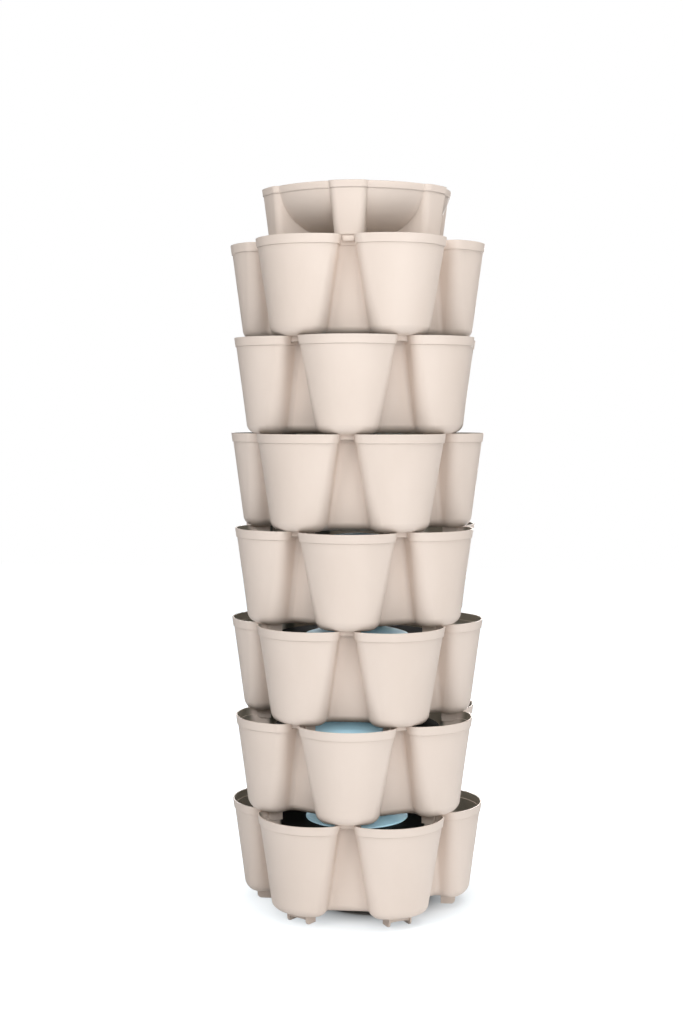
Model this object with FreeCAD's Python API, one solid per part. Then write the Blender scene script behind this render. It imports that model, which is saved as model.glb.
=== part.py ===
import FreeCAD, Part
import math
import os

from FreeCAD import Vector

os.makedirs("parts", exist_ok=True)

# Vertical planter tower: seven equal six-pocket tiers, each turned half a pocket on the one below,
# with a fluted water bowl on top. Millimetres, +Z up, origin on the floor under the tower's axis.
# A pocket of every even tier points along -Y, the front.

# Stack
TIER_COUNT = 7
POCKET_COUNT = 6
TIER_HEIGHT = 167.5
FOOT_DROP = 17.5

# Pocket outline at the rim and at the floor: the outer arc, the corner arcs beside it, half the slot
# between two pockets and the valley wall that closes the slot
ARC_CENTRE = 125.0
RIM_ARC_RADIUS = 102.0
FLOOR_ARC_RADIUS = 80.0
RIM_CORNER_RADIUS = 20.0
FLOOR_CORNER_RADIUS = 25.0
RIM_HALF_SLOT = 13.2
FLOOR_HALF_SLOT = 37.5
RIM_VALLEY_RADIUS = 157.0
FLOOR_VALLEY_RADIUS = 153.0
RIM_VALLEY_CORNER = 8.0
FLOOR_VALLEY_CORNER = 8.0

# Wall, rim band and rounding of the floor's edge: as high as under the pockets, but wider under the valleys
WALL = 2.5
BAND_HEIGHT = 15.5
BAND_PROUD = 1.5
FLOOR_ROUNDING = 18.0
VALLEY_ROUNDING = 30.0
ROUNDING_STEPS = 6

# Hub raised from the middle of the floor with a drain hole, and the drain holes of a pocket
HUB_HEIGHT = 30.0
HUB_FOOT_RADIUS = 58.0
HUB_TOP_RADIUS = 46.0
HUB_DRAIN_RADIUS = 16.0
POCKET_DRAIN_RADIUS = 3.0
POCKET_DRAIN_PLACES = ((120.0, 0.0), (138.0, 26.0), (138.0, -26.0))

# Feet: two radial plates joined by a web, which drops into notches of the slot walls below
PLATE_THICKNESS = 2.6
PLATE_SPACING = 40.6
PLATE_INNER_RADIUS = 155.5
PLATE_OUTER_RADIUS = 181.5
PLATE_CORNER = 8.0
WEB_THICKNESS = 3.0
WEB_OUTER_RADIUS = 177.0
WEB_DROP = 10.5
WEB_ARCH = 1.5
NOTCH_CLEARANCE = 0.6

# Dark support that stands on the hub, and the blue water disc that lies on it
DISC_RADIUS = 93.0
DISC_EDGE_BELOW_RIM = 30.0
DISC_THICKNESS = 2.5
DISC_CROWN = 18.0
DISC_DRIP_RADIUS = 4.0
SUPPORT_WALL = 3.0
SUPPORT_PLATE_CLEARANCE = 2.5
SUPPORT_TUBE_RADIUS = 40.0
SUPPORT_SPIGOT_CLEARANCE = 0.6
SUPPORT_SPIGOT_DEPTH = 8.0
GUSSET_DEPTH = 45.0
GUSSET_SETBACK = 6.0
GUSSET_THICKNESS = 2.5

# Water bowl on top: a round bowl on six hollow legs, each with a tab that drops into a slot of the tier
BOWL_HEIGHT = 92.5
BOWL_RIM_RADIUS = 166.5
BOWL_WAIST_RADIUS = 140.0
BOWL_WAIST_HEIGHT = 38.0
BOWL_WALL_BULGE = 5.5
SHOULDER_SAG = 4.5
BOWL_FLOOR_HEIGHT = 11.0
BOWL_FLOOR_RADIUS = 85.0
LEG_RIM_RADIUS = 173.5
LEG_FOOT_RADIUS = 163.0
LEG_RIM_HALF_WIDTH = 33.0
LEG_FOOT_HALF_WIDTH = 25.0
LEG_INNER_RADIUS = 90.0
LEG_CORNER = 12.0
LEG_GROOVE_HEIGHT = 2.5
LEG_GROOVE_DEPTH = 1.5
TAB_DROP = 9.0
TAB_CLEARANCE = 0.6
TAB_CHAMFER = 3.0
BOWL_BAND_HEIGHT = 12.0
BOWL_BAND_PROUD = 1.2
BOWL_DRIP_RADIUS = 1.5
BOWL_DRIP_CIRCLE = 70.0
BOWL_CENTRE_DRIP_RADIUS = 4.0

Z_AXIS = Vector(0, 0, 1)
POCKET_ANGLE = 360.0 / POCKET_COUNT
OVERSHOOT = 20.0


def turned(shape, degrees):
    copy = shape.copy()
    copy.rotate(Vector(0, 0, 0), Z_AXIS, degrees)
    return copy


def around(shape, start=0.0):
    return [turned(shape, start + POCKET_ANGLE * i) for i in range(POCKET_COUNT)]


def fuse_all(shapes):
    return shapes[0].multiFuse(shapes[1:])


def slab(z_low, z_high):
    reach = ARC_CENTRE + RIM_ARC_RADIUS + OVERSHOOT
    return Part.makeBox(2 * reach, 2 * reach, z_high - z_low, Vector(-reach, -reach, z_low))


def between(floor_value, rim_value, z, height):
    return floor_value + (rim_value - floor_value) * z / height


def valley_radius_at(z):
    return between(FLOOR_VALLEY_RADIUS, RIM_VALLEY_RADIUS, z, TIER_HEIGHT)


def arc_edge(centre, radius, start_angle, end_angle):
    def at(angle):
        return Vector(centre.x + radius * math.cos(angle), centre.y + radius * math.sin(angle), centre.z)
    return Part.Arc(at(start_angle), at((start_angle + end_angle) / 2), at(end_angle)).toShape()


def end_of(edge):
    return edge.valueAt(edge.LastParameter)


def start_of(edge):
    return edge.valueAt(edge.FirstParameter)


def pocket_edges(z, offset, valley_inset):
    """One pocket of the outline about +X and the valley after it, counter-clockwise, at height z."""
    arc_radius = between(FLOOR_ARC_RADIUS, RIM_ARC_RADIUS, z, TIER_HEIGHT) + offset
    corner_radius = between(FLOOR_CORNER_RADIUS, RIM_CORNER_RADIUS, z, TIER_HEIGHT) + offset
    half_slot = between(FLOOR_HALF_SLOT, RIM_HALF_SLOT, z, TIER_HEIGHT) - offset
    valley_radius = valley_radius_at(z) + offset - valley_inset
    valley_corner = between(FLOOR_VALLEY_CORNER, RIM_VALLEY_CORNER, z, TIER_HEIGHT) - offset
    half_angle = math.radians(POCKET_ANGLE / 2)
    along = Vector(math.cos(half_angle), math.sin(half_angle), 0)
    outward = Vector(-math.sin(half_angle), math.cos(half_angle), 0)
    arc_centre = Vector(ARC_CENTRE, 0, z)
    # centre of the corner arc: tangent to the slot wall and to the outer arc from inside
    foot = outward * (-half_slot - corner_radius) + Vector(0, 0, z)
    to_foot = foot - arc_centre
    half_b = to_foot.dot(along)
    reach = -half_b + math.sqrt(half_b ** 2 - to_foot.dot(to_foot) + (arc_radius - corner_radius) ** 2)
    corner_centre = foot + along * reach
    blend_angle = math.atan2(corner_centre.y, corner_centre.x - ARC_CENTRE)
    slot_angle = math.pi / 2 + half_angle
    mirrored = Vector(corner_centre.x, -corner_centre.y, z)
    near_valley = along * (valley_radius + valley_corner) + Vector(0, 0, z)
    near_corner = near_valley - outward * (half_slot - valley_corner)
    far_corner = near_valley + outward * (half_slot - valley_corner)
    corner_in = arc_edge(mirrored, corner_radius, -slot_angle, -blend_angle)
    outer_arc = arc_edge(arc_centre, arc_radius, -blend_angle, blend_angle)
    corner_out = arc_edge(corner_centre, corner_radius, blend_angle, slot_angle)
    valley_in = arc_edge(near_corner, valley_corner, half_angle - math.pi / 2, half_angle - math.pi)
    valley_out = arc_edge(far_corner, valley_corner, half_angle + math.pi, half_angle + math.pi / 2)
    slot_in = Part.makeLine(end_of(corner_out), start_of(valley_in))
    valley_wall = Part.makeLine(end_of(valley_in), start_of(valley_out))
    next_start = start_of(turned(corner_in, POCKET_ANGLE))
    slot_out = Part.makeLine(end_of(valley_out), next_start)
    return [corner_in, outer_arc, corner_out, slot_in, valley_in, valley_wall, valley_out, slot_out]


def outline_wire(z, offset, valley_inset=0.0):
    edges = []
    for i in range(POCKET_COUNT):
        edges += [turned(edge, POCKET_ANGLE * i) for edge in pocket_edges(z, offset, valley_inset)]
    return Part.Wire(edges)


def rounding_sections(offset):
    """Outline wires up the rounding between the floor and the drafted wall, lowest first."""
    draft = math.atan((RIM_ARC_RADIUS - FLOOR_ARC_RADIUS) / TIER_HEIGHT)
    radius = FLOOR_ROUNDING + offset
    widening = (VALLEY_ROUNDING - FLOOR_ROUNDING) / radius
    z_end = radius * (1 - math.sin(draft)) - offset
    wires = []
    for i in range(ROUNDING_STEPS + 1):
        turn = (math.pi / 2 - draft) * i / ROUNDING_STEPS
        z = radius * (1 - math.cos(turn)) - offset
        inset = (z - z_end) * math.tan(draft) + radius * (math.cos(draft) - math.sin(turn))
        wires.append(outline_wire(z, offset - inset, inset * widening))
    return wires


def tier_body(offset, z_rim):
    """The drafted six-pocket body with a rounded floor, grown on all sides by offset."""
    rounding = rounding_sections(offset)
    rim = outline_wire(z_rim, offset)
    faces = Part.makeLoft(rounding, False, False).Faces
    faces += Part.makeLoft([rounding[-1], rim], False, True).Faces
    faces += [Part.Face(rounding[0]), Part.Face(rim)]
    shell = Part.makeShell(faces)
    shell.sewShape()
    body = Part.makeSolid(shell)
    if body.Volume < 0:
        body.reverse()
    return body


def band_body(offset, z_low, z_high):
    low = outline_wire(z_low, offset)
    high = outline_wire(z_high, offset)
    return Part.makeLoft([low, high], True, True)


def hub_recess(grow):
    """The cone of space below the raised hub, grown by the wall for the hub's upper face."""
    slope = (HUB_FOOT_RADIUS - HUB_TOP_RADIUS) / HUB_HEIGHT
    foot_radius = HUB_FOOT_RADIUS + grow + slope * OVERSHOOT
    return Part.makeCone(foot_radius, HUB_TOP_RADIUS + grow - slope * grow,
                         HUB_HEIGHT + grow + OVERSHOOT, Vector(0, 0, -OVERSHOOT))


def foot(drop):
    """Two radial plates and the web between them, below a pocket on +X."""
    top = WALL / 2
    straight_end = PLATE_OUTER_RADIUS - PLATE_CORNER
    corner_centre = Vector(straight_end, 0, PLATE_CORNER - drop)
    middle = corner_centre + Vector(PLATE_CORNER, 0, -PLATE_CORNER) * math.sqrt(0.5)
    corner = Part.Arc(Vector(straight_end, 0, -drop), middle,
                      Vector(PLATE_OUTER_RADIUS, 0, PLATE_CORNER - drop)).toShape()
    sides = Part.makePolygon([Vector(PLATE_OUTER_RADIUS, 0, PLATE_CORNER - drop),
                              Vector(PLATE_OUTER_RADIUS, 0, top),
                              Vector(PLATE_INNER_RADIUS, 0, top),
                              Vector(PLATE_INNER_RADIUS, 0, -drop),
                              Vector(straight_end, 0, -drop)])
    profile = Part.Face(Part.Wire([corner] + sides.Edges))
    plate = profile.extrude(Vector(0, PLATE_THICKNESS, 0))
    inner_face = PLATE_SPACING / 2 - PLATE_THICKNESS / 2
    right = plate.translated(Vector(0, inner_face, 0))
    left = plate.translated(Vector(0, -inner_face - PLATE_THICKNESS, 0))
    overlap = PLATE_THICKNESS / 2
    half_web = inner_face + overlap
    arch = Part.Arc(Vector(0, -half_web, -WEB_DROP), Vector(0, 0, -WEB_DROP + WEB_ARCH),
                    Vector(0, half_web, -WEB_DROP)).toShape()
    edges = Part.makePolygon([Vector(0, half_web, -WEB_DROP), Vector(0, half_web, top),
                              Vector(0, -half_web, top), Vector(0, -half_web, -WEB_DROP)])
    web = Part.Face(Part.Wire([arch] + edges.Edges)).extrude(Vector(WEB_THICKNESS, 0, 0))
    web.translate(Vector(WEB_OUTER_RADIUS - WEB_THICKNESS, 0, 0))
    return fuse_all([right, left, web])


def slot_notch():
    """Cut in both walls of the slot on +X that the web of the piece above drops into."""
    depth = WEB_DROP + NOTCH_CLEARANCE
    width = WEB_THICKNESS + 2 * NOTCH_CLEARANCE
    corner = Vector(WEB_OUTER_RADIUS - WEB_THICKNESS - NOTCH_CLEARANCE,
                    -PLATE_SPACING / 2, TIER_HEIGHT - depth)
    return Part.makeBox(width, PLATE_SPACING, depth + OVERSHOOT, corner)


def pocket_drains():
    return [Part.makeCylinder(POCKET_DRAIN_RADIUS, WALL + 2 * OVERSHOOT, Vector(x, y, -OVERSHOOT))
            for x, y in POCKET_DRAIN_PLACES]


def make_tier():
    """One tier standing on z = 0 at its pocket floors, with a pocket on +X."""
    band_low = TIER_HEIGHT - BAND_HEIGHT
    body = tier_body(0.0, TIER_HEIGHT)
    band = band_body(BAND_PROUD, band_low, TIER_HEIGHT)
    cavity = tier_body(-WALL, TIER_HEIGHT + OVERSHOOT).cut(hub_recess(WALL))
    band_cavity = band_body(BAND_PROUD - WALL, band_low + WALL, TIER_HEIGHT + OVERSHOOT)
    outer = body.fuse(band).cut(hub_recess(0.0))
    shell = outer.cut(cavity).cut(band_cavity)
    feet = around(foot(FOOT_DROP))
    notches = around(slot_notch(), POCKET_ANGLE / 2)
    drains = [turned(drain, POCKET_ANGLE * i) for i in range(POCKET_COUNT) for drain in pocket_drains()]
    drains.append(Part.makeCylinder(HUB_DRAIN_RADIUS, HUB_HEIGHT + WALL + OVERSHOOT))
    tier = fuse_all([shell] + feet)
    for tool in notches + drains:
        tier = tier.cut(tool)
    return tier.removeSplitter()


def turn_profile(points):
    ring = [Vector(r, 0, z) for r, z in points]
    face = Part.Face(Part.makePolygon(ring + ring[:1]))
    return face.revolve(Vector(0, 0, 0), Z_AXIS, 360)


def disc_seat_height():
    return TIER_HEIGHT - DISC_EDGE_BELOW_RIM - DISC_THICKNESS


def make_support():
    """The dark pedestal: a round plate on a tube whose spigot sits in the hub's drain hole."""
    hub_top = HUB_HEIGHT + WALL
    plate_top = disc_seat_height()
    plate_low = plate_top - SUPPORT_WALL
    spigot_radius = HUB_DRAIN_RADIUS - SUPPORT_SPIGOT_CLEARANCE
    drain_radius = spigot_radius - SUPPORT_WALL
    tube_inner = SUPPORT_TUBE_RADIUS - SUPPORT_WALL
    plate_radius = valley_radius_at(plate_top) - WALL - SUPPORT_PLATE_CLEARANCE
    support = turn_profile([
        (drain_radius, hub_top - SUPPORT_SPIGOT_DEPTH), (spigot_radius, hub_top - SUPPORT_SPIGOT_DEPTH),
        (spigot_radius, hub_top), (SUPPORT_TUBE_RADIUS, hub_top), (SUPPORT_TUBE_RADIUS, plate_low),
        (plate_radius, plate_low), (plate_radius, plate_top), (drain_radius, plate_top),
        (drain_radius, plate_low), (tube_inner, plate_low), (tube_inner, hub_top + SUPPORT_WALL),
        (drain_radius, hub_top + SUPPORT_WALL)])
    gusset = Part.Face(Part.makePolygon([
        Vector(SUPPORT_TUBE_RADIUS - SUPPORT_WALL / 2, 0, plate_low - GUSSET_DEPTH),
        Vector(plate_radius - GUSSET_SETBACK, 0, plate_low + SUPPORT_WALL / 2),
        Vector(SUPPORT_TUBE_RADIUS - SUPPORT_WALL / 2, 0, plate_low + SUPPORT_WALL / 2),
        Vector(SUPPORT_TUBE_RADIUS - SUPPORT_WALL / 2, 0, plate_low - GUSSET_DEPTH)]))
    gusset = gusset.extrude(Vector(0, GUSSET_THICKNESS, 0)).translated(Vector(0, -GUSSET_THICKNESS / 2, 0))
    return fuse_all([support] + around(gusset)).removeSplitter()


def crown_side(edge, z_crown):
    """Point half way out on the round dome that rises from the edge point to its crown on the axis."""
    rise = z_crown - edge.z
    radius = (edge.x ** 2 + rise ** 2) / (2 * rise)
    half = edge.x / 2
    return Vector(half, 0, z_crown - radius + math.sqrt(radius ** 2 - half ** 2))


def make_disc():
    """The blue water disc: a shallow dome that stands on its edge on the support's plate."""
    low = disc_seat_height()
    top_edge = low + DISC_THICKNESS
    crown = low + DISC_CROWN

    def dome(z_edge, z_crown):
        edge = Vector(DISC_RADIUS, 0, z_edge)
        return Part.Arc(edge, crown_side(edge, z_crown), Vector(0, 0, z_crown)).toShape()

    upper = dome(top_edge, crown)
    axis = Part.makeLine(Vector(0, 0, crown), Vector(0, 0, crown - DISC_THICKNESS))
    lower = dome(low, crown - DISC_THICKNESS)
    edge = Part.makeLine(Vector(DISC_RADIUS, 0, low), Vector(DISC_RADIUS, 0, top_edge))
    face = Part.Face(Part.Wire([upper, axis, lower, edge]))
    disc = face.revolve(Vector(0, 0, 0), Z_AXIS, 360)
    return disc.cut(Part.makeCylinder(DISC_DRIP_RADIUS, 2 * TIER_HEIGHT))


def bowl_profile(offset, z_top):
    """Half section of the round bowl, grown by offset: flat floor, round shoulder, bulged wall.

    The section stands at 45 degrees at the waist, so the waist moves out and down by the same share.
    """
    floor = BOWL_FLOOR_HEIGHT - offset
    share = offset * math.sqrt(0.5)
    waist = Vector(BOWL_WAIST_RADIUS + share, 0, BOWL_WAIST_HEIGHT - share)
    rim = Vector(BOWL_RIM_RADIUS + offset, 0, BOWL_HEIGHT)
    edge = Vector(BOWL_FLOOR_RADIUS, 0, floor)
    up_wall = (rim - waist).normalize()
    outward = Vector(up_wall.z, 0, -up_wall.x)
    wall = Part.Arc(rim, (rim + waist) / 2 + outward * BOWL_WALL_BULGE, waist).toShape()
    across = (waist - edge).normalize()
    shoulder_middle = (waist + edge) / 2 + Vector(across.z, 0, -across.x) * SHOULDER_SAG
    shoulder = Part.Arc(waist, shoulder_middle, edge).toShape()
    top = Vector(rim.x, 0, z_top)
    lines = [edge, Vector(0, 0, floor), Vector(0, 0, z_top)]
    lines += [top, rim] if z_top > BOWL_HEIGHT else [rim]
    return Part.Face(Part.Wire([wall, shoulder] + Part.makePolygon(lines).Edges))


def leg_wire(z, offset):
    """Plan of one leg on +X: straight sides, rounded outer corners, outer face round the axis."""
    outer = between(LEG_FOOT_RADIUS, LEG_RIM_RADIUS, z, BOWL_HEIGHT) + offset
    half = between(LEG_FOOT_HALF_WIDTH, LEG_RIM_HALF_WIDTH, z, BOWL_HEIGHT) + offset
    corner = LEG_CORNER + offset
    centre_y = half - corner
    centre_x = math.sqrt((outer - corner) ** 2 - centre_y ** 2)
    spread = math.atan2(centre_y, centre_x)
    right_centre = Vector(centre_x, -centre_y, z)
    left_centre = Vector(centre_x, centre_y, z)
    right_corner = arc_edge(right_centre, corner, -math.pi / 2, -spread)
    face_arc = arc_edge(Vector(0, 0, z), outer, -spread, spread)
    left_corner = arc_edge(left_centre, corner, spread, math.pi / 2)
    inner = LEG_INNER_RADIUS - offset
    left_side = Part.makeLine(end_of(left_corner), Vector(inner, half, z))
    back = Part.makeLine(end_of(left_side), Vector(inner, -half, z))
    right_side = Part.makeLine(end_of(back), start_of(right_corner))
    return Part.Wire([right_corner, face_arc, left_corner, left_side, back, right_side])


def bowl_body(offset, z_foot, z_top):
    bowl = bowl_profile(offset, z_top).revolve(Vector(0, 0, 0), Z_AXIS, 360)
    leg = Part.makeLoft([leg_wire(z_foot, offset), leg_wire(z_top, offset)], True, True)
    return fuse_all([bowl] + around(leg))


def leg_pad():
    """The leg's closed floor on +X, set back from its walls, so that a groove shows above the rim below."""
    low = leg_wire(0.0, -LEG_GROOVE_DEPTH)
    height = LEG_GROOVE_HEIGHT + LEG_GROOVE_DEPTH
    return Part.Face(low).extrude(Vector(0, 0, height))


def leg_tab():
    """Tab under a leg on +X that drops into the slot between two pockets, clear of the rim band there."""
    half = RIM_HALF_SLOT - BAND_PROUD - TAB_CLEARANCE
    face = Part.makePolygon([Vector(RIM_VALLEY_RADIUS, y, z) for y, z in (
        (-half, 0), (-half, TAB_CHAMFER - TAB_DROP), (TAB_CHAMFER - half, -TAB_DROP),
        (half - TAB_CHAMFER, -TAB_DROP), (half, TAB_CHAMFER - TAB_DROP), (half, 0), (-half, 0))])
    tab = Part.Face(face).extrude(Vector(LEG_FOOT_RADIUS - RIM_VALLEY_RADIUS, 0, 0))
    rim = Part.Face(outline_wire(TIER_HEIGHT, BAND_PROUD + TAB_CLEARANCE))
    rim = turned(rim, POCKET_ANGLE / 2).translated(Vector(0, 0, -TIER_HEIGHT - TAB_DROP - OVERSHOOT))
    return tab.cut(rim.extrude(Vector(0, 0, TAB_DROP + 2 * OVERSHOOT)))


def make_reservoir():
    """The water bowl, standing on z = 0 at its legs, with a leg on +X."""
    band_low = BOWL_HEIGHT - BOWL_BAND_HEIGHT
    outer = bowl_body(0.0, LEG_GROOVE_HEIGHT, BOWL_HEIGHT)
    band = bowl_body(BOWL_BAND_PROUD, 0.0, BOWL_HEIGHT).common(slab(band_low, BOWL_HEIGHT))
    cavity = bowl_body(-WALL, LEG_GROOVE_HEIGHT + WALL, BOWL_HEIGHT + OVERSHOOT)
    band_cavity = bowl_body(BOWL_BAND_PROUD - WALL, LEG_GROOVE_HEIGHT + WALL, BOWL_HEIGHT + OVERSHOOT)
    band_cavity = band_cavity.common(slab(band_low + WALL, BOWL_HEIGHT + OVERSHOOT))
    feet = around(leg_pad()) + around(leg_tab())
    bowl = fuse_all([outer, band] + feet).cut(cavity).cut(band_cavity)
    drip_height = BOWL_FLOOR_HEIGHT + OVERSHOOT
    drips = around(Part.makeCylinder(BOWL_DRIP_RADIUS, drip_height, Vector(BOWL_DRIP_CIRCLE, 0, 0)),
                   POCKET_ANGLE / 2)
    drips.append(Part.makeCylinder(BOWL_CENTRE_DRIP_RADIUS, drip_height))
    for tool in drips:
        bowl = bowl.cut(tool)
    return bowl.removeSplitter()


def tier_turn(number):
    """Even tiers have a pocket along -Y, and odd tiers a valley."""
    return -90.0 if number % 2 == 0 else -90.0 + POCKET_ANGLE / 2


def tier_floor(number):
    return FOOT_DROP + TIER_HEIGHT * (number - 1)


def export(shape, name):
    shape.exportStep("parts/" + name + ".step")


tier = make_tier()
support = make_support()
disc = make_disc()
reservoir = make_reservoir()

for number in range(1, TIER_COUNT + 1):
    lift = Vector(0, 0, tier_floor(number))
    export(turned(tier, tier_turn(number)).translated(lift), "tier_%d" % number)
    if number < TIER_COUNT:
        export(turned(support, tier_turn(number)).translated(lift), "support_%d" % number)
        export(disc.translated(lift), "water_disc_%d" % number)

rim_of_top_tier = tier_floor(TIER_COUNT) + TIER_HEIGHT
reservoir_turn = tier_turn(TIER_COUNT) + POCKET_ANGLE / 2
export(turned(reservoir, reservoir_turn).translated(Vector(0, 0, rim_of_top_tier)), "reservoir")

for name, shape in (("tier", tier), ("support", support), ("disc", disc), ("reservoir", reservoir)):
    print(name, "solids", len(shape.Solids), "valid", shape.isValid(), "cm3", round(shape.Volume / 1000, 1))
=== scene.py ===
"""A free-standing tower of stacked planter tiers with a watering bowl on top, in cream plastic."""

import math

import bpy
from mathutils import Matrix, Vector

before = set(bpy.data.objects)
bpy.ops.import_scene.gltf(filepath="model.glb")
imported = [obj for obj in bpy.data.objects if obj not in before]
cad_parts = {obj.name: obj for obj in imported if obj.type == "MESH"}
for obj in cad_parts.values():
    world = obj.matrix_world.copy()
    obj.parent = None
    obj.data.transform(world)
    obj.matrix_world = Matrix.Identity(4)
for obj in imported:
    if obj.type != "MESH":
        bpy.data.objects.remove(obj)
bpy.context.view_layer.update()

# The photograph's camera, worked out from the tiers' rims. The lens and the sensor are in
# millimetres, the distance and the height in metres
LENS = 54.3
SENSOR = 36.0
CAMERA_DISTANCE = 2.798
CAMERA_HEIGHT = 0.8924
CAMERA_AZIMUTH = math.radians(5.2)
CAMERA_TILT_DOWN = math.radians(3.70)
CAMERA_PAN = math.radians(0.573)

# Colours, linear, as the plastics look under plain white light, but for the inside shade, which is
# painted shade: it multiplies the cream on faces that look at the tower's axis, the pockets'
# insides
CREAM = (0.725, 0.618, 0.54)
CREAM_PALE = (0.765, 0.658, 0.58)
PAINTED_INSIDE_SHADE = (0.46, 0.50, 0.47)
SUPPORT_BLACK = (0.012, 0.013, 0.011)
SUPPORT_GREY = (0.028, 0.029, 0.026)
DISC_BLUE = (0.38, 0.60, 0.71)
DISC_BLUE_PALE = (0.44, 0.66, 0.75)

# Sizes of the plastic's surface detail, in metres: the blotches and the sheen of the cream plastic,
# the soft patches of the parts inside, the mould's grain and the rounding of edges
BLOTCH = 0.12
SHEEN_PATCH = 0.024
INNER_PATCH = 0.04
GRAIN = 0.0009
GRAIN_DEPTH = 0.00006
DISC_GRAIN_DEPTH = 0.00003
EDGE_ROUNDING = 0.0008
TIER_EDGE_ROUNDING = 0.0014
BOWL_EDGE_ROUNDING = 0.003
EDGE_SAMPLES = 4
NOISE_DETAIL = 3.0
BUMP_STRENGTH = 0.5
# The blotches are twice as tall as they are wide
BLOTCH_SQUEEZE = (1, 1, 0.5)

# The values of a noise between which the colour changes, and between which the roughness does
BLOTCH_STEPS = (0.35, 0.65)
DUST_STEPS = (0.4, 0.7)
ROUGHNESS_STEPS = (0.3, 0.7)

# Gloss: least and most roughness, and the specular level
PLANTER_ROUGHNESS = (0.42, 0.52)
PLANTER_SPECULAR = 0.4
SUPPORT_ROUGHNESS = (0.55, 0.7)
SUPPORT_SPECULAR = 0.15
DISC_ROUGHNESS = (0.42, 0.55)
DISC_SPECULAR = 0.3
FLOOR_ROUGHNESS = 0.9
FLOOR_SPECULAR = 0.1

# The painted inside shade goes by the cosine between a face's normal and the way out from the
# tower's axis: where it starts, and where it is full
SHADE_FROM = -0.15
SHADE_FULL = -0.7

# The floor: FLOOR_COLOUR throws light back on the tower, the camera sees FLOOR_SEEN_COLOUR, and
# the white glow grows between the two distances from the shadow's centre. The darker seen colour
# and
# the glow are painted shadow: dark near the tower, plain white further out
FLOOR_SIZE = 12.0
FLOOR_COLOUR = (0.86, 0.88, 0.90)
FLOOR_SEEN_COLOUR = (0.41, 0.415, 0.42)
FLOOR_WHITE_FROM = 0.1
FLOOR_WHITE_AT = 0.31
FLOOR_WHITE_CURVE = 0.52
FLOOR_WHITE_TINT = (0.95, 1.0, 1.03)
PAINTED_SHADOW_CENTRE = (0.03, 0, 0)

# Even light, and softboxes that face the tower's middle from that far away. Angles are in degrees,
# the power is in watts
WORLD_COLOUR = (0.97, 0.985, 1.0)
WORLD_STRENGTH = 0.1
TARGET = Vector((0, 0, 0.60))
LAMP_DISTANCE = 3.2
LAMP_SIZE = 1.6
LAMPS = (
    {"name": "left_high", "azimuth": -38, "elevation": 32, "power": 34.0},
    {"name": "front_low", "azimuth": 0, "elevation": 20, "power": 17.0},
    {"name": "front_high", "azimuth": 0, "elevation": 62, "power": 23.0},
    {"name": "right_low", "azimuth": 30, "elevation": 5, "power": 19.0},
    {"name": "right_mid", "azimuth": 38, "elevation": 32, "power": 13.0},
    {"name": "right_side", "azimuth": 60, "elevation": 5, "power": 7.0},
    {"name": "right_high", "azimuth": 90, "elevation": 62, "power": 53.0},
    {"name": "back_high", "azimuth": 180, "elevation": 60, "power": 12.0},
    {"name": "back_mid", "azimuth": 180, "elevation": 25, "power": 6.0},
)
# Fill from behind that lights the cream plastic alone, so that the supports stay black
BACK_LAMPS = (
    {"name": "back_low", "azimuth": 180, "elevation": 5, "power": 55.0},
)
# Lamps that reach in between the tiers and light the water discs alone
DISC_LAMPS = (
    {"name": "discs_front", "azimuth": 5, "elevation": 12, "power": 225.0},
    {"name": "discs_right", "azimuth": 95, "elevation": 12, "power": 80.0},
    {"name": "discs_back", "azimuth": 185, "elevation": 12, "power": 60.0},
    {"name": "discs_left", "azimuth": 275, "elevation": 12, "power": 80.0},
)


def new_material(name):
    """A new material with its nodes, its links and its shader."""
    material = bpy.data.materials.new(name)
    material.use_nodes = True
    tree = material.node_tree
    return material, tree.nodes, tree.links, tree.nodes["Principled BSDF"]


def noise(nodes, links, coordinates, feature, squeeze=(1, 1, 1)):
    """A noise with features about that many metres across, longer where squeeze is under 1."""
    mapping = nodes.new("ShaderNodeMapping")
    mapping.inputs["Scale"].default_value = [share / feature for share in squeeze]
    links.new(coordinates, mapping.inputs["Vector"])
    texture = nodes.new("ShaderNodeTexNoise")
    texture.inputs["Scale"].default_value = 1.0
    texture.inputs["Detail"].default_value = NOISE_DETAIL
    links.new(mapping.outputs["Vector"], texture.inputs["Vector"])
    return texture.outputs["Fac"]


def ramp(nodes, links, value, steps, colours):
    """The first colour below the first step, the second above the second, a blend between them."""
    node = nodes.new("ShaderNodeValToRGB")
    for element, step, colour in zip(node.color_ramp.elements, steps, colours):
        element.position = step
        element.color = (*colour, 1.0)
    links.new(value, node.inputs["Fac"])
    return node.outputs["Color"]


def spread(nodes, links, value, ends):
    """A noise turned into a roughness between two ends."""
    node = nodes.new("ShaderNodeMapRange")
    node.inputs["From Min"].default_value, node.inputs["From Max"].default_value = ROUGHNESS_STEPS
    node.inputs["To Min"].default_value, node.inputs["To Max"].default_value = ends
    links.new(value, node.inputs["Value"])
    return node.outputs["Result"]


def grain_bump(nodes, links, coordinates, shader, depth, rounding):
    """Adds rounded edges and the fine grain of the mould."""
    bevel = nodes.new("ShaderNodeBevel")
    bevel.samples = EDGE_SAMPLES
    bevel.inputs["Radius"].default_value = rounding
    bump = nodes.new("ShaderNodeBump")
    bump.inputs["Distance"].default_value = depth
    bump.inputs["Strength"].default_value = BUMP_STRENGTH
    links.new(noise(nodes, links, coordinates, GRAIN), bump.inputs["Height"])
    links.new(bevel.outputs["Normal"], bump.inputs["Normal"])
    links.new(bump.outputs["Normal"], shader.inputs["Normal"])


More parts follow.
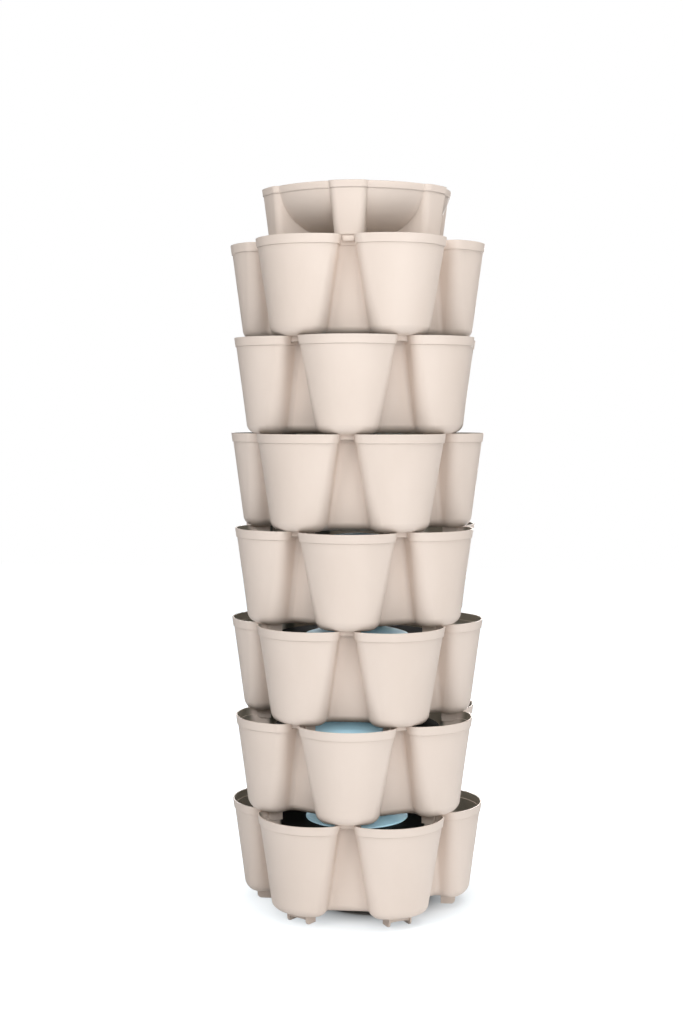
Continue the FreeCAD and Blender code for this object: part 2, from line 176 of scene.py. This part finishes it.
def faces_the_axis(nodes, links, coordinates):
    """1 on faces that look at the tower's axis, such as the inside of a pocket's outer wall: where
    the shade is painted.
    """
    outward = nodes.new("ShaderNodeVectorMath")
    outward.operation = "MULTIPLY"
    outward.inputs[1].default_value = (1, 1, 0)
    links.new(coordinates, outward.inputs[0])
    unit = nodes.new("ShaderNodeVectorMath")
    unit.operation = "NORMALIZE"
    links.new(outward.outputs["Vector"], unit.inputs[0])
    facing = nodes.new("ShaderNodeVectorMath")
    facing.operation = "DOT_PRODUCT"
    links.new(unit.outputs["Vector"], facing.inputs[0])
    links.new(nodes.new("ShaderNodeNewGeometry").outputs["Normal"], facing.inputs[1])
    share = nodes.new("ShaderNodeMapRange")
    share.interpolation_type = "SMOOTHSTEP"
    share.inputs["From Min"].default_value = SHADE_FROM
    share.inputs["From Max"].default_value = SHADE_FULL
    links.new(facing.outputs["Value"], share.inputs["Value"])
    return share.outputs["Result"]


def planter_plastic(name, paint_inside_shade, rounding):
    """Cream moulded plastic with faint blotches and a satin grain, and, where asked, painted shade
    on faces that look at the tower's axis.
    """
    material, nodes, links, shader = new_material(name)
    coordinates = nodes.new("ShaderNodeTexCoord").outputs["Object"]
    blotches = noise(nodes, links, coordinates, BLOTCH, squeeze=BLOTCH_SQUEEZE)
    colour = ramp(nodes, links, blotches, BLOTCH_STEPS, (CREAM, CREAM_PALE))
    # Painted shade: the cream is darkened on faces that look at the tower's axis, inside the
    # pockets
    if paint_inside_shade:
        painted_shade = nodes.new("ShaderNodeMix")
        painted_shade.data_type = "RGBA"
        painted_shade.blend_type = "MULTIPLY"
        painted_shade.inputs["B"].default_value = (*PAINTED_INSIDE_SHADE, 1.0)
        links.new(faces_the_axis(nodes, links, coordinates), painted_shade.inputs["Factor"])
        links.new(colour, painted_shade.inputs["A"])
        colour = painted_shade.outputs["Result"]
    links.new(colour, shader.inputs["Base Color"])
    sheen = noise(nodes, links, coordinates, SHEEN_PATCH)
    links.new(spread(nodes, links, sheen, PLANTER_ROUGHNESS), shader.inputs["Roughness"])
    shader.inputs["Specular IOR Level"].default_value = PLANTER_SPECULAR
    grain_bump(nodes, links, coordinates, shader, GRAIN_DEPTH, rounding)
    return material


def inner_plastic(name, steps, colours, roughness, specular, depth):
    """Plastic of the parts inside, whose colour and roughness change in the same soft patches."""
    material, nodes, links, shader = new_material(name)
    coordinates = nodes.new("ShaderNodeTexCoord").outputs["Object"]
    patches = noise(nodes, links, coordinates, INNER_PATCH)
    links.new(ramp(nodes, links, patches, steps, colours), shader.inputs["Base Color"])
    links.new(spread(nodes, links, patches, roughness), shader.inputs["Roughness"])
    shader.inputs["Specular IOR Level"].default_value = specular
    grain_bump(nodes, links, coordinates, shader, depth, EDGE_ROUNDING)
    return material


def support_plastic():
    """Near-black plastic of the supports inside, with a little dust."""
    return inner_plastic("support_plastic", DUST_STEPS, (SUPPORT_BLACK, SUPPORT_GREY),
                         SUPPORT_ROUGHNESS, SUPPORT_SPECULAR, GRAIN_DEPTH)


def disc_plastic():
    """Blue plastic of the water discs, with a shallower grain."""
    return inner_plastic("water_disc_plastic", BLOTCH_STEPS, (DISC_BLUE, DISC_BLUE_PALE),
                         DISC_ROUGHNESS, DISC_SPECULAR, DISC_GRAIN_DEPTH)


def cad_nodes(*starts):
    """The CAD nodes whose names start in one of these ways."""
    return [node for name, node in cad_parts.items() if name.startswith(starts)]


def dress(material, *starts):
    """Gives a material to those CAD nodes."""
    for node in cad_nodes(*starts):
        for slot in node.material_slots:
            slot.material = material


def seen_directly(nodes, links):
    """1 for rays from the camera, also through something clear, and 0 for all other light."""
    path = nodes.new("ShaderNodeLightPath")
    seen = nodes.new("ShaderNodeMath")
    seen.operation = "MAXIMUM"
    links.new(path.outputs["Is Camera Ray"], seen.inputs[0])
    links.new(path.outputs["Is Transmission Ray"], seen.inputs[1])
    return seen.outputs[0]


def floor_with_painted_shadow(nodes, links, shader):
    """Gives the floor its two colours, and a glow that throws no light, to end in plain white. This
    paints the shadow: darker near the tower, white further out.
    """
    seen = seen_directly(nodes, links)
    # Painted shadow: the camera sees a darker floor than the one that throws light back
    colour = nodes.new("ShaderNodeMix")
    colour.data_type = "RGBA"
    colour.inputs["A"].default_value = (*FLOOR_COLOUR, 1.0)
    colour.inputs["B"].default_value = (*FLOOR_SEEN_COLOUR, 1.0)
    links.new(seen, colour.inputs["Factor"])
    links.new(colour.outputs["Result"], shader.inputs["Base Color"])
    # Painted shadow: the glow rises with the distance from the shadow's centre, so the floor is
    # darker near the tower and white further out
    away = nodes.new("ShaderNodeVectorMath")
    away.operation = "DISTANCE"
    away.inputs[1].default_value = PAINTED_SHADOW_CENTRE
    links.new(nodes.new("ShaderNodeTexCoord").outputs["Object"], away.inputs[0])
    rise = nodes.new("ShaderNodeMapRange")
    rise.inputs["From Min"].default_value = FLOOR_WHITE_FROM
    rise.inputs["From Max"].default_value = FLOOR_WHITE_AT
    links.new(away.outputs["Value"], rise.inputs["Value"])
    curve = nodes.new("ShaderNodeMath")
    curve.operation = "POWER"
    curve.inputs[1].default_value = FLOOR_WHITE_CURVE
    links.new(rise.outputs["Result"], curve.inputs[0])
    strength = nodes.new("ShaderNodeMath")
    strength.operation = "MULTIPLY"
    links.new(curve.outputs[0], strength.inputs[0])
    links.new(seen, strength.inputs[1])
    painted_light = nodes.new("ShaderNodeEmission")
    painted_light.inputs["Color"].default_value = (*FLOOR_WHITE_TINT, 1.0)
    links.new(strength.outputs[0], painted_light.inputs["Strength"])
    both = nodes.new("ShaderNodeAddShader")
    links.new(shader.outputs["BSDF"], both.inputs[0])
    links.new(painted_light.outputs[0], both.inputs[1])
    links.new(both.outputs[0], nodes["Material Output"].inputs["Surface"])


def make_floor():
    """A wide white floor that keeps the tower's shadow, partly real and partly painted."""
    bpy.ops.mesh.primitive_plane_add(size=FLOOR_SIZE)
    floor = bpy.context.object
    floor.name = "floor"
    material, nodes, links, shader = new_material("floor_with_painted_shadow")
    shader.inputs["Roughness"].default_value = FLOOR_ROUGHNESS
    shader.inputs["Specular IOR Level"].default_value = FLOOR_SPECULAR
    floor_with_painted_shadow(nodes, links, shader)
    floor.data.materials.append(material)


def make_world():
    """Even light from all round, seen as plain white."""
    world = bpy.data.worlds.new("studio")
    bpy.context.scene.world = world
    world.use_nodes = True
    nodes, links = world.node_tree.nodes, world.node_tree.links
    light = nodes["Background"]
    light.inputs["Color"].default_value = (*WORLD_COLOUR, 1.0)
    light.inputs["Strength"].default_value = WORLD_STRENGTH
    seen_white = nodes.new("ShaderNodeBackground")
    seen_white.inputs["Color"].default_value = (1, 1, 1, 1)
    choose = nodes.new("ShaderNodeMixShader")
    links.new(seen_directly(nodes, links), choose.inputs["Fac"])
    links.new(light.outputs["Background"], choose.inputs[1])
    links.new(seen_white.outputs["Background"], choose.inputs[2])
    links.new(choose.outputs["Shader"], nodes["World Output"].inputs["Surface"])


def softbox(lamp):
    """A square lamp that faces the tower; azimuth 0 is in front of it, 90 on its right."""
    data = bpy.data.lights.new(lamp["name"], "AREA")
    data.shape = "SQUARE"
    data.size = LAMP_SIZE
    data.energy = lamp["power"]
    azimuth = math.radians(lamp["azimuth"])
    elevation = math.radians(lamp["elevation"])
    towards = Vector((math.sin(azimuth) * math.cos(elevation),
                      -math.cos(azimuth) * math.cos(elevation), math.sin(elevation)))
    box = bpy.data.objects.new(lamp["name"], data)
    box.location = TARGET + towards * LAMP_DISTANCE
    box.rotation_euler = towards.to_track_quat("Z", "Y").to_euler()
    bpy.context.scene.collection.objects.link(box)
    return box


def light_alone(lamps, *starts):
    """Adds softboxes that light those CAD nodes and nothing else."""
    group = bpy.data.collections.new(starts[0] + "_nodes")
    for node in cad_nodes(*starts):
        group.objects.link(node)
    for lamp in lamps:
        softbox(lamp).light_linking.receiver_collection = group


def make_camera():
    """The camera that took the photograph."""
    data = bpy.data.cameras.new("camera")
    data.lens = LENS
    data.sensor_width = SENSOR
    camera = bpy.data.objects.new("camera", data)
    camera.location = (CAMERA_DISTANCE * math.sin(CAMERA_AZIMUTH),
                       -CAMERA_DISTANCE * math.cos(CAMERA_AZIMUTH), CAMERA_HEIGHT)
    camera.rotation_euler = (math.pi / 2 - CAMERA_TILT_DOWN, 0, CAMERA_AZIMUTH + CAMERA_PAN)
    bpy.context.scene.collection.objects.link(camera)
    bpy.context.scene.camera = camera


make_camera()
make_world()
make_floor()
for lamp in LAMPS:
    softbox(lamp)

light_alone(DISC_LAMPS, "water_disc")
light_alone(BACK_LAMPS, "tier", "reservoir")

dress(planter_plastic("planter_plastic", True, TIER_EDGE_ROUNDING), "tier")
dress(planter_plastic("bowl_plastic", False, BOWL_EDGE_ROUNDING), "reservoir")
dress(support_plastic(), "support")
dress(disc_plastic(), "water_disc")

bpy.context.scene.view_settings.view_transform = "Standard"
